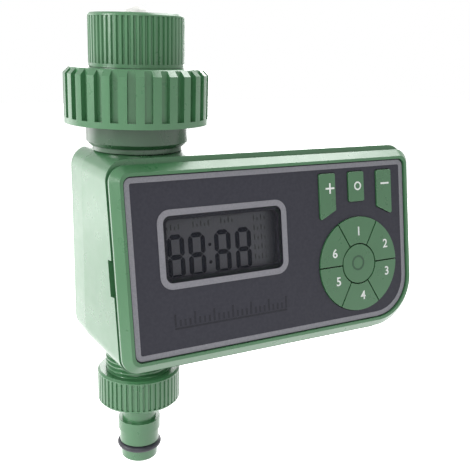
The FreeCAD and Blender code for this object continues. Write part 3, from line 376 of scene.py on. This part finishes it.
# a rounded rectangle round a middle point, with radii from the low left corner, counter-clockwise
def roundedLoop(across, up, wide, tall, radii, steps=8):
    points = []
    for corner, (side, rise) in enumerate(((-1, -1), (1, -1), (1, 1), (-1, 1))):
        radius = radii[corner]
        middle = Vector((across + side * (wide / 2 - radius), up + rise * (tall / 2 - radius)))
        for step in range(steps + 1):
            angle = math.pi * (1 + corner / 2) + math.pi / 2 * step / steps
            points.append(middle + radius * Vector((math.cos(angle), math.sin(angle))))
    return points


# a solid plate of a closed outline, between two heights over the face, all in millimetres
def addPlate(shape, loop, low, high):
    floor = [shape.verts.new(facePlace @ (Vector((*point, low)) * mm)) for point in loop]
    top = [shape.verts.new(facePlace @ (Vector((*point, high)) * mm)) for point in loop]
    shape.faces.new(floor)
    shape.faces.new(top)
    for spot in range(len(loop)):
        after = (spot + 1) % len(loop)
        shape.faces.new((floor[spot], floor[after], top[after], top[spot]))


# a flat ring between two outlines with as many points each
def addBand(shape, outer, inner, low, high):
    rings = [
        [shape.verts.new(facePlace @ (Vector((*point, level)) * mm)) for point in loop]
        for loop, level in ((outer, low), (outer, high), (inner, high), (inner, low))
    ]
    count = len(outer)
    for ring in range(4):
        near, far = rings[ring], rings[(ring + 1) % 4]
        for spot in range(count):
            after = (spot + 1) % count
            shape.faces.new((near[spot], near[after], far[after], far[spot]))


borderSizes = {
    "wide": 122.8, "tall": 64.1, "corner": 2.6, "bigCorner": 15.8, "band": 1.9, "proud": 0.1, "sunk": 0.02,
}
windowSizes = {
    "across": -23.6, "up": 5.9, "wide": 53.4, "tall": 28.5, "corner": 4.9, "band": 2.25, "proud": 0.22,
}


wellSizes = {"halfWide": 26.5, "halfTall": 14.0, "deep": -9.0, "seat": (-2.0, -0.4), "level": 0.9}


# painted shade: the walls of the window's opening and the seat under the plate get the plate's dark print,
# standing in for the shade inside that recess
def paintWellShade(piece):
    well = wellSizes
    piece.data.materials.append(looks["facePrint"])
    toFace = facePlace.inverted()
    for face in piece.data.polygons:
        spot = (toFace @ face.center) / mm
        across, up = abs(spot.x - windowSizes["across"]), abs(spot.y - windowSizes["up"])
        wall = across < well["halfWide"] and up < well["halfTall"] and spot.z > well["deep"]
        seat = face.normal.dot(faceOut) > well["level"] and well["seat"][0] < spot.z < well["seat"][1]
        if wall or seat:
            face.material_index = 1


def makeBorders():
    border = bmesh.new()
    size = borderSizes
    radii = (size["corner"], size["bigCorner"], size["corner"], size["corner"])
    inner = [max(radius - size["band"], 0.5) for radius in radii]
    addBand(border, roundedLoop(0, 0, size["wide"], size["tall"], radii),
            roundedLoop(0, 0, size["wide"] - 2 * size["band"], size["tall"] - 2 * size["band"], inner),
            -size["sunk"], size["proud"])
    newPiece("plateBorder", border, "module", "silverPrint")
    window = bmesh.new()
    size = windowSizes
    addBand(window, roundedLoop(size["across"], size["up"], size["wide"], size["tall"], [size["corner"]] * 4),
            roundedLoop(size["across"], size["up"], size["wide"] - 2 * size["band"],
                        size["tall"] - 2 * size["band"], [size["corner"] - size["band"]] * 4),
            -borderSizes["sunk"], size["proud"])
    newPiece("windowBorder", window, "module", "silverPrint")


# the four digits of the display, each of seven bars
digitSizes = {
    "lefts": (-47.4, -39.0, -28.4, -19.6), "wide": 6.8, "low": -5.2, "tall": 16.4, "stroke": 1.8, "gap": 0.16,
    "colon": -30.3, "colonUps": (6.2, -0.3), "colonSide": 1.2, "colonRound": 0.36, "thick": 0.05,
    "glassThick": 1.8,
    # the cell lies deep, so what is on it shows through the window moved by these shares of its depth
    "slideAcross": 0.53, "slideUp": -0.138,
}


# the height of the cell's front over the face, and how far its marks are moved for that depth
def cellPlace():
    size = digitSizes
    low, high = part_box("display_glass")
    level = (facePlace.inverted() @ ((low + high) / 2)).z / mm + size["glassThick"] / 2
    return level, Vector((-size["slideAcross"] * level, -size["slideUp"] * level))


def makeDisplay():
    size = digitSizes
    level, move = cellPlace()
    shape = bmesh.new()

    # a bar with pointed ends between two points
    def addStroke(start, end, stroke):
        run = (end - start).normalized()
        side = Vector((-run.y, run.x)) * stroke / 2
        nose = run * stroke / 2
        loop = (start, start + nose + side, end - nose + side, end, end - nose - side, start + nose - side)
        addPlate(shape, [point + move for point in loop], level, level + size["thick"])

    for left in size["lefts"]:
        half = size["stroke"] / 2
        x0, x1 = left + half, left + size["wide"] - half
        y0, y1 = size["low"] + half, size["low"] + size["tall"] - half
        middle = (y0 + y1) / 2
        gap = size["gap"]
        for y in (y0, middle, y1):
            addStroke(Vector((x0 + gap, y)), Vector((x1 - gap, y)), size["stroke"])
        for x in (x0, x1):
            addStroke(Vector((x, y0 + gap)), Vector((x, middle - gap)), size["stroke"])
            addStroke(Vector((x, middle + gap)), Vector((x, y1 - gap)), size["stroke"])
    side = size["colonSide"]
    for up in size["colonUps"]:
        loop = roundedLoop(size["colon"] + move.x, up + move.y, side, side, [size["colonRound"]] * 4, 3)
        addPlate(shape, loop, level, level + size["thick"])
    newPiece("displaySegments", shape, "module", "ink")


# faint plain marks in the cell: rows of short bars above the digits and one column beside them
markSizes = {
    "rows": ((-48.6, 13.9, 5), (-36.6, 14.2, 5), (-25.2, 14.6, 4), (-36.2, 17.0, 4)),
    "column": (-11.2, (14.3, 10.6, 6.9, 3.2, -0.5), 4),
    "barWide": 0.51, "barTall": 2.0, "barRound": 0.12, "pitch": 1.55, "thick": 0.04, "shortShare": 0.55,
}


def makeDisplayMarks():
    size = markSizes
    level, move = cellPlace()
    across, ups, count = size["column"]
    shape = bmesh.new()
    for left, up, bars in (*size["rows"], *((across, up, count) for up in ups)):
        for bar in range(bars):
            middle = Vector((left + bar * size["pitch"], up)) + move
            tall = size["barTall"] * (size["shortShare"] if bar % 2 else 1.0)
            low = middle.y - (size["barTall"] - tall) / 2
            loop = roundedLoop(middle.x, low, size["barWide"], tall, [size["barRound"]] * 4, 2)
            addPlate(shape, loop, level, level + size["thick"])
    newPiece("displayMarks", shape, "module", "faintInk")


# a plain graduated scale under the window
scaleSizes = {
    "left": -45.6, "low": -22.6, "ticks": 25, "pitch": 1.95, "stroke": 0.75, "short": 2.4, "tall": 4.6,
    "base": 0.75, "proud": 0.06, "every": 4, "tickRound": 0.1, "baseRound": 0.2,
}


def makeScale():
    size = scaleSizes
    shape = bmesh.new()
    length = (size["ticks"] - 1) * size["pitch"] + size["stroke"]
    for tick in range(size["ticks"]):
        across = size["left"] + tick * size["pitch"]
        tall = size["tall"] if tick % size["every"] == 0 else size["short"]
        middle = size["low"] + size["base"] + tall / 2
        addPlate(shape, roundedLoop(across, middle, size["stroke"], tall, [size["tickRound"]] * 4, 2),
                 -borderSizes["sunk"], size["proud"])
    across = size["left"] + length / 2 - size["stroke"] / 2
    addPlate(shape, roundedLoop(across, size["low"], length, size["base"], [size["baseRound"]] * 4, 2),
             -borderSizes["sunk"], size["proud"])
    newPiece("plainScale", shape, "module", "deepInk")


# printed legends: numbers on the round keys, signs on the straight ones and a ring on the middle key; the hub
# key's dark green ring is painted shade for an engraved line
legendSizes = {
    "fontSize": 4.97, "fatter": 0.07, "sink": 0.03, "proud": 0.05,
    "signLong": 4.2, "signThick": 0.72, "round": 0.1,
    "ringRadius": 1.75, "ringBand": 0.62, "hubRadius": 3.1, "hubBand": 0.75,
}
numberPlaces = {
    "sector_key_2": ("1", 37.1, 4.2), "sector_key_1": ("2", 50.6, -2.2), "sector_key_6": ("3", 51.0, -13.7),
    "sector_key_5": ("4", 38.2, -22.3), "sector_key_4": ("5", 26.2, -15.2), "sector_key_3": ("6", 24.9, -3.7),
}
signPlaces = {
    "plus_key": (23.7, 22.6), "minus_key": (51.4, 22.9), "middle_key": (37.4, 22.7), "hub_key": (36.3, -8.5),
}
keyTop = 0.7  # how far the keys stand out of the plate, in millimetres


def makeNumbers():
    size = legendSizes
    for node, (number, across, up) in numberPlaces.items():
        curve = bpy.data.curves.new("number", "FONT")
        curve.body = number
        curve.size = size["fontSize"] * mm
        curve.extrude = (size["sink"] + size["proud"]) / 2 * mm
        curve.offset = size["fatter"] * mm
        curve.align_x, curve.align_y = "CENTER", "CENTER"
        letters = bpy.data.objects.new("number", curve)
        bpy.context.scene.collection.objects.link(letters)
        bpy.context.view_layer.update()
        mesh = bpy.data.meshes.new_from_object(letters.evaluated_get(bpy.context.evaluated_depsgraph_get()))
        bpy.data.objects.remove(letters)
        bpy.data.curves.remove(curve)
        shape = bmesh.new()
        shape.from_mesh(mesh)
        bpy.data.meshes.remove(mesh)
        middle = Vector((across, up, keyTop + (size["proud"] - size["sink"]) / 2)) * mm
        bmesh.ops.transform(shape, matrix=facePlace @ Matrix.Translation(middle), verts=shape.verts)
        newPiece("number-" + number, shape, node, "legendInk")


def makeSigns():
    size = legendSizes
    low, high = keyTop - size["sink"], keyTop + size["proud"]
    long, thick, radii = size["signLong"], size["signThick"], [size["round"]] * 4
    half = (long - thick) / 2
    for node, (across, up) in signPlaces.items():
        shape = bmesh.new()
        # the hub key's ring is painted groove shade, the other legends are print
        look = "paintedGrooveShade" if node == "hub_key" else "legendInk"
        if node in ("plus_key", "minus_key"):
            addPlate(shape, roundedLoop(across, up, long, thick, radii, 2), low, high)
        if node == "plus_key":
            for side in (-1, 1):
                middle = up + side * (thick + half) / 2
                addPlate(shape, roundedLoop(across, middle, thick, half, radii, 2), low, high)
        if node in ("middle_key", "hub_key"):
            word = "ring" if node == "middle_key" else "hub"
            radius, band = size[word + "Radius"], size[word + "Band"]
            outer = roundedLoop(across, up, 2 * radius, 2 * radius, [radius] * 4, 10)
            inner = roundedLoop(across, up, 2 * (radius - band), 2 * (radius - band), [radius - band] * 4, 10)
            addBand(shape, outer, inner, low, high)
        newPiece(node.replace("_", "-") + "-legend", shape, node, look)


paintWellShade(moulded["module_frame"])
makeBorders()
makeDisplay()
makeDisplayMarks()
makeScale()
makeNumbers()
makeSigns()
print("control face borders, display, scale and legends made")


# turned pieces with a real helix, which the plain cylinders of the frame leave out

# a closed turned shape from radii and heights in millimetres; a radius may be a rule of angle and height
def turnedShape(rings, around):
    shape = bmesh.new()
    loops = []
    for radius, level in rings:
        loop = []
        for step in range(around):
            angle = 2 * math.pi * step / around
            reach = radius(angle, level) if callable(radius) else radius
            spot = Vector((reach * math.cos(angle), reach * math.sin(angle), level))
            loop.append(shape.verts.new(spot * mm))
        loops.append(loop)
    for near, far in zip(loops, loops[1:] + loops[:1]):
        for step in range(around):
            after = (step + 1) % around
            shape.faces.new((near[step], near[after], far[after], far[step]))
    return shape


threadProfile = {"root": 0.12, "flank": 0.62}  # shares of half a pitch


# a rounded flank from 0 at the root to 1 at the crest, once for each turn
def threadForm(turns):
    share = abs((turns % 1.0) * 2 - 1)
    rise = min(1.0, max(0.0, (share - threadProfile["root"]) / threadProfile["flank"]))
    return rise * rise * (3 - 2 * rise)


def threadRings(top, low, base, deep, pitch, steps, fade):
    def reach(angle, level):
        ends = min(1.0, (top - level) / fade, (level - low) / fade)
        return base + deep * max(0.0, ends) * threadForm(level / pitch - angle / (2 * math.pi))
    count = round((top - low) / pitch * steps)
    return [(reach, top + (low - top) * step / count) for step in range(count + 1)]


outletThread = {
    "crest": 13.2, "deep": 1.1, "pitch": 1.814, "steps": 8, "around": 96, "fade": 1.2,
    "tube": 12.0, "flange": 15.3, "flangeTall": 4.0, "plug": 10.95, "plugTall": 4.5, "hole": 6.8, "bore": 8.5,
    "shoulder": 3.6, "long": 24.5, "entry": 0.1, "nose": 0.7, "lead": 0.5,
}


def makeOutletThread():
    size = outletThread
    low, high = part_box("outlet_spigot")
    top, bottom = high.z / mm, low.z / mm
    flangeTop = top - size["plugTall"]
    flangeLow = flangeTop - size["flangeTall"]
    root = size["crest"] - size["deep"]
    start = bottom + size["long"]
    rings = [
        (size["hole"], top), (size["plug"], top), (size["plug"], flangeTop), (size["flange"], flangeTop),
        (size["flange"], flangeLow), (size["tube"], flangeLow), (size["tube"], start),
        *threadRings(start - size["entry"], bottom + size["nose"], root, size["deep"], size["pitch"],
                     size["steps"], size["fade"]),
        (root - size["lead"], bottom), (size["bore"], bottom), (size["bore"], flangeTop - size["shoulder"]),
        (size["hole"], flangeTop - size["shoulder"]),
    ]
    piece = newPiece("outletThread", turnedShape(rings, size["around"]), "housing", "green")
    smoothByEdges(piece.data)
    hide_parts("outlet_spigot")


tapThread = {
    "bore": 12.12, "deep": 0.55, "pitch": 1.814, "steps": 8, "around": 96, "fade": 1.4, "top": -1.0,
    "low": -13.4, "sink": 0.3,
}


def makeTapThread():
    size = tapThread
    rings = [
        *threadRings(size["top"], size["low"], size["bore"], -size["deep"], size["pitch"], size["steps"],
                     size["fade"]),
        (size["bore"] + size["sink"], size["low"]), (size["bore"] + size["sink"], size["top"]),
    ]
    piece = newPiece("tapThread", turnedShape(rings, size["around"]), "tap_collar", "green")
    smoothByEdges(piece.data)


makeOutletThread()
makeTapThread()
print("threads made")


# stage, light and camera

cameraLook = {
    "place": (-101.45, -255.70, -8.67), "yaw": 29.48, "down": 14.86, "roll": 1.61, "lens": 55.86,
    "sensor": 36, "nearest": 0.01,
}


def placeCamera():
    look = cameraLook
    yaw, down, roll = (math.radians(look[word]) for word in ("yaw", "down", "roll"))
    ahead = Vector((math.sin(yaw) * math.cos(down), math.cos(yaw) * math.cos(down), -math.sin(down)))
    right = Vector((math.cos(yaw), -math.sin(yaw), 0))
    up = right.cross(ahead)
    tiltedRight = right * math.cos(roll) + up * math.sin(roll)
    tiltedUp = tiltedRight.cross(ahead)
    data = bpy.data.cameras.new("camera")
    data.lens = look["lens"]
    data.sensor_width = look["sensor"]
    data.clip_start = look["nearest"]
    camera = bpy.data.objects.new("camera", data)
    bpy.context.scene.collection.objects.link(camera)
    turned = Matrix((tiltedRight, tiltedUp, -ahead)).transposed().to_4x4()
    turned.translation = Vector(look["place"]) * mm
    camera.matrix_world = turned
    bpy.context.scene.camera = camera


stageLook = {
    "floorDrop": 120, "floorSide": 6.0, "floorColour": 0.86, "nearGlow": 0.55, "farGlow": 1.0,
    "glowFrom": 0.12, "glowTo": 0.5, "roomDiffuse": 0.33, "aim": (0.04, 0, -0.085),
    "floorRough": 0.9, "floorShine": 0.1, "floorGrain": 60, "floorDeep": 0.2 * mm, "floorBump": 0.2,
}
lamps = {
    "sideLamp": {"place": (-0.45, 0.72, -0.14), "side": 0.55, "watts": 1.3},
    "leftLamp": {"place": (-0.85, 0.02, 0.22), "side": 0.4, "watts": 6.0},
    "backLamp": {"place": (0.55, 0.90, 0.12), "side": 0.8, "watts": 9.0},
    "frontLamp": {"place": (-0.50, -0.90, 0.40), "side": 0.5, "watts": 3.6},
    "topLamp": {"place": (0.48, 0.08, 0.68), "side": 0.5, "watts": 5.5},
}


# 1 for rays from the camera, from gloss and through glass
def seenRays(tree):
    path = tree.nodes.new("ShaderNodeLightPath")
    total = None
    for ray in ("Is Glossy Ray", "Is Transmission Ray"):
        add = tree.nodes.new("ShaderNodeMath")
        add.operation = "MAXIMUM"
        tree.links.new(total or path.outputs["Is Camera Ray"], add.inputs[0])
        tree.links.new(path.outputs[ray], add.inputs[1])
        total = add.outputs["Value"]
    return total


def makeRoom():
    world = bpy.data.worlds.new("room")
    world.use_nodes = True
    tree = world.node_tree
    back = tree.nodes["Background"]
    back.inputs["Color"].default_value = (1, 1, 1, 1)
    span = tree.nodes.new("ShaderNodeMapRange")
    span.inputs["To Min"].default_value = stageLook["roomDiffuse"]
    span.inputs["To Max"].default_value = 1.0
    tree.links.new(seenRays(tree), span.inputs["Value"])
    tree.links.new(span.outputs["Result"], back.inputs["Strength"])
    bpy.context.scene.world = world
    for name, lamp in lamps.items():
        data = bpy.data.lights.new(name, "AREA")
        data.energy = lamp["watts"]
        data.size = lamp["side"]
        thing = bpy.data.objects.new(name, data)
        bpy.context.scene.collection.objects.link(thing)
        place = Vector(lamp["place"])
        aim = Vector(stageLook["aim"]) - place
        thing.matrix_world = Matrix.Translation(place) @ aim.to_track_quat("-Z", "Y").to_matrix().to_4x4()


def makeFloor():
    size = stageLook
    level = cadBox[0][2] - size["floorDrop"] * mm
    side = size["floorSide"] / 2
    mesh = bpy.data.meshes.new("floor")
    mesh.from_pydata([(-side, -side, level), (side, -side, level), (side, side, level), (-side, side, level)],
                     [], [(0, 1, 2, 3)])
    floor = bpy.data.objects.new("floor", mesh)
    bpy.context.scene.collection.objects.link(floor)
    shade = size["floorColour"]
    material, tree, shader = startMaterial("paleFloor", (shade, shade, shade), size["floorRough"], 0,
                                           size["floorShine"])
    shader.inputs["Emission Color"].default_value = (1, 1, 1, 1)
    place = tree.nodes.new("ShaderNodeTexCoord")
    far = tree.nodes.new("ShaderNodeVectorMath")
    far.operation = "LENGTH"
    tree.links.new(place.outputs["Object"], far.inputs[0])
    span = tree.nodes.new("ShaderNodeMapRange")
    span.inputs["From Min"].default_value = size["glowFrom"]
    span.inputs["From Max"].default_value = size["glowTo"]
    span.inputs["To Min"].default_value = size["nearGlow"]
    span.inputs["To Max"].default_value = size["farGlow"]
    tree.links.new(far.outputs["Value"], span.inputs["Value"])
    glow = tree.nodes.new("ShaderNodeMath")
    glow.operation = "MULTIPLY"
    tree.links.new(span.outputs["Result"], glow.inputs[0])
    tree.links.new(seenRays(tree), glow.inputs[1])
    tree.links.new(glow.outputs["Value"], shader.inputs["Emission Strength"])
    grain(tree, shader, size["floorGrain"], size["floorDeep"], size["floorBump"])
    mesh.materials.append(material)


placeCamera()
makeRoom()
makeFloor()
bpy.context.scene.view_settings.view_transform = "Standard"
print("stage, light and camera set")
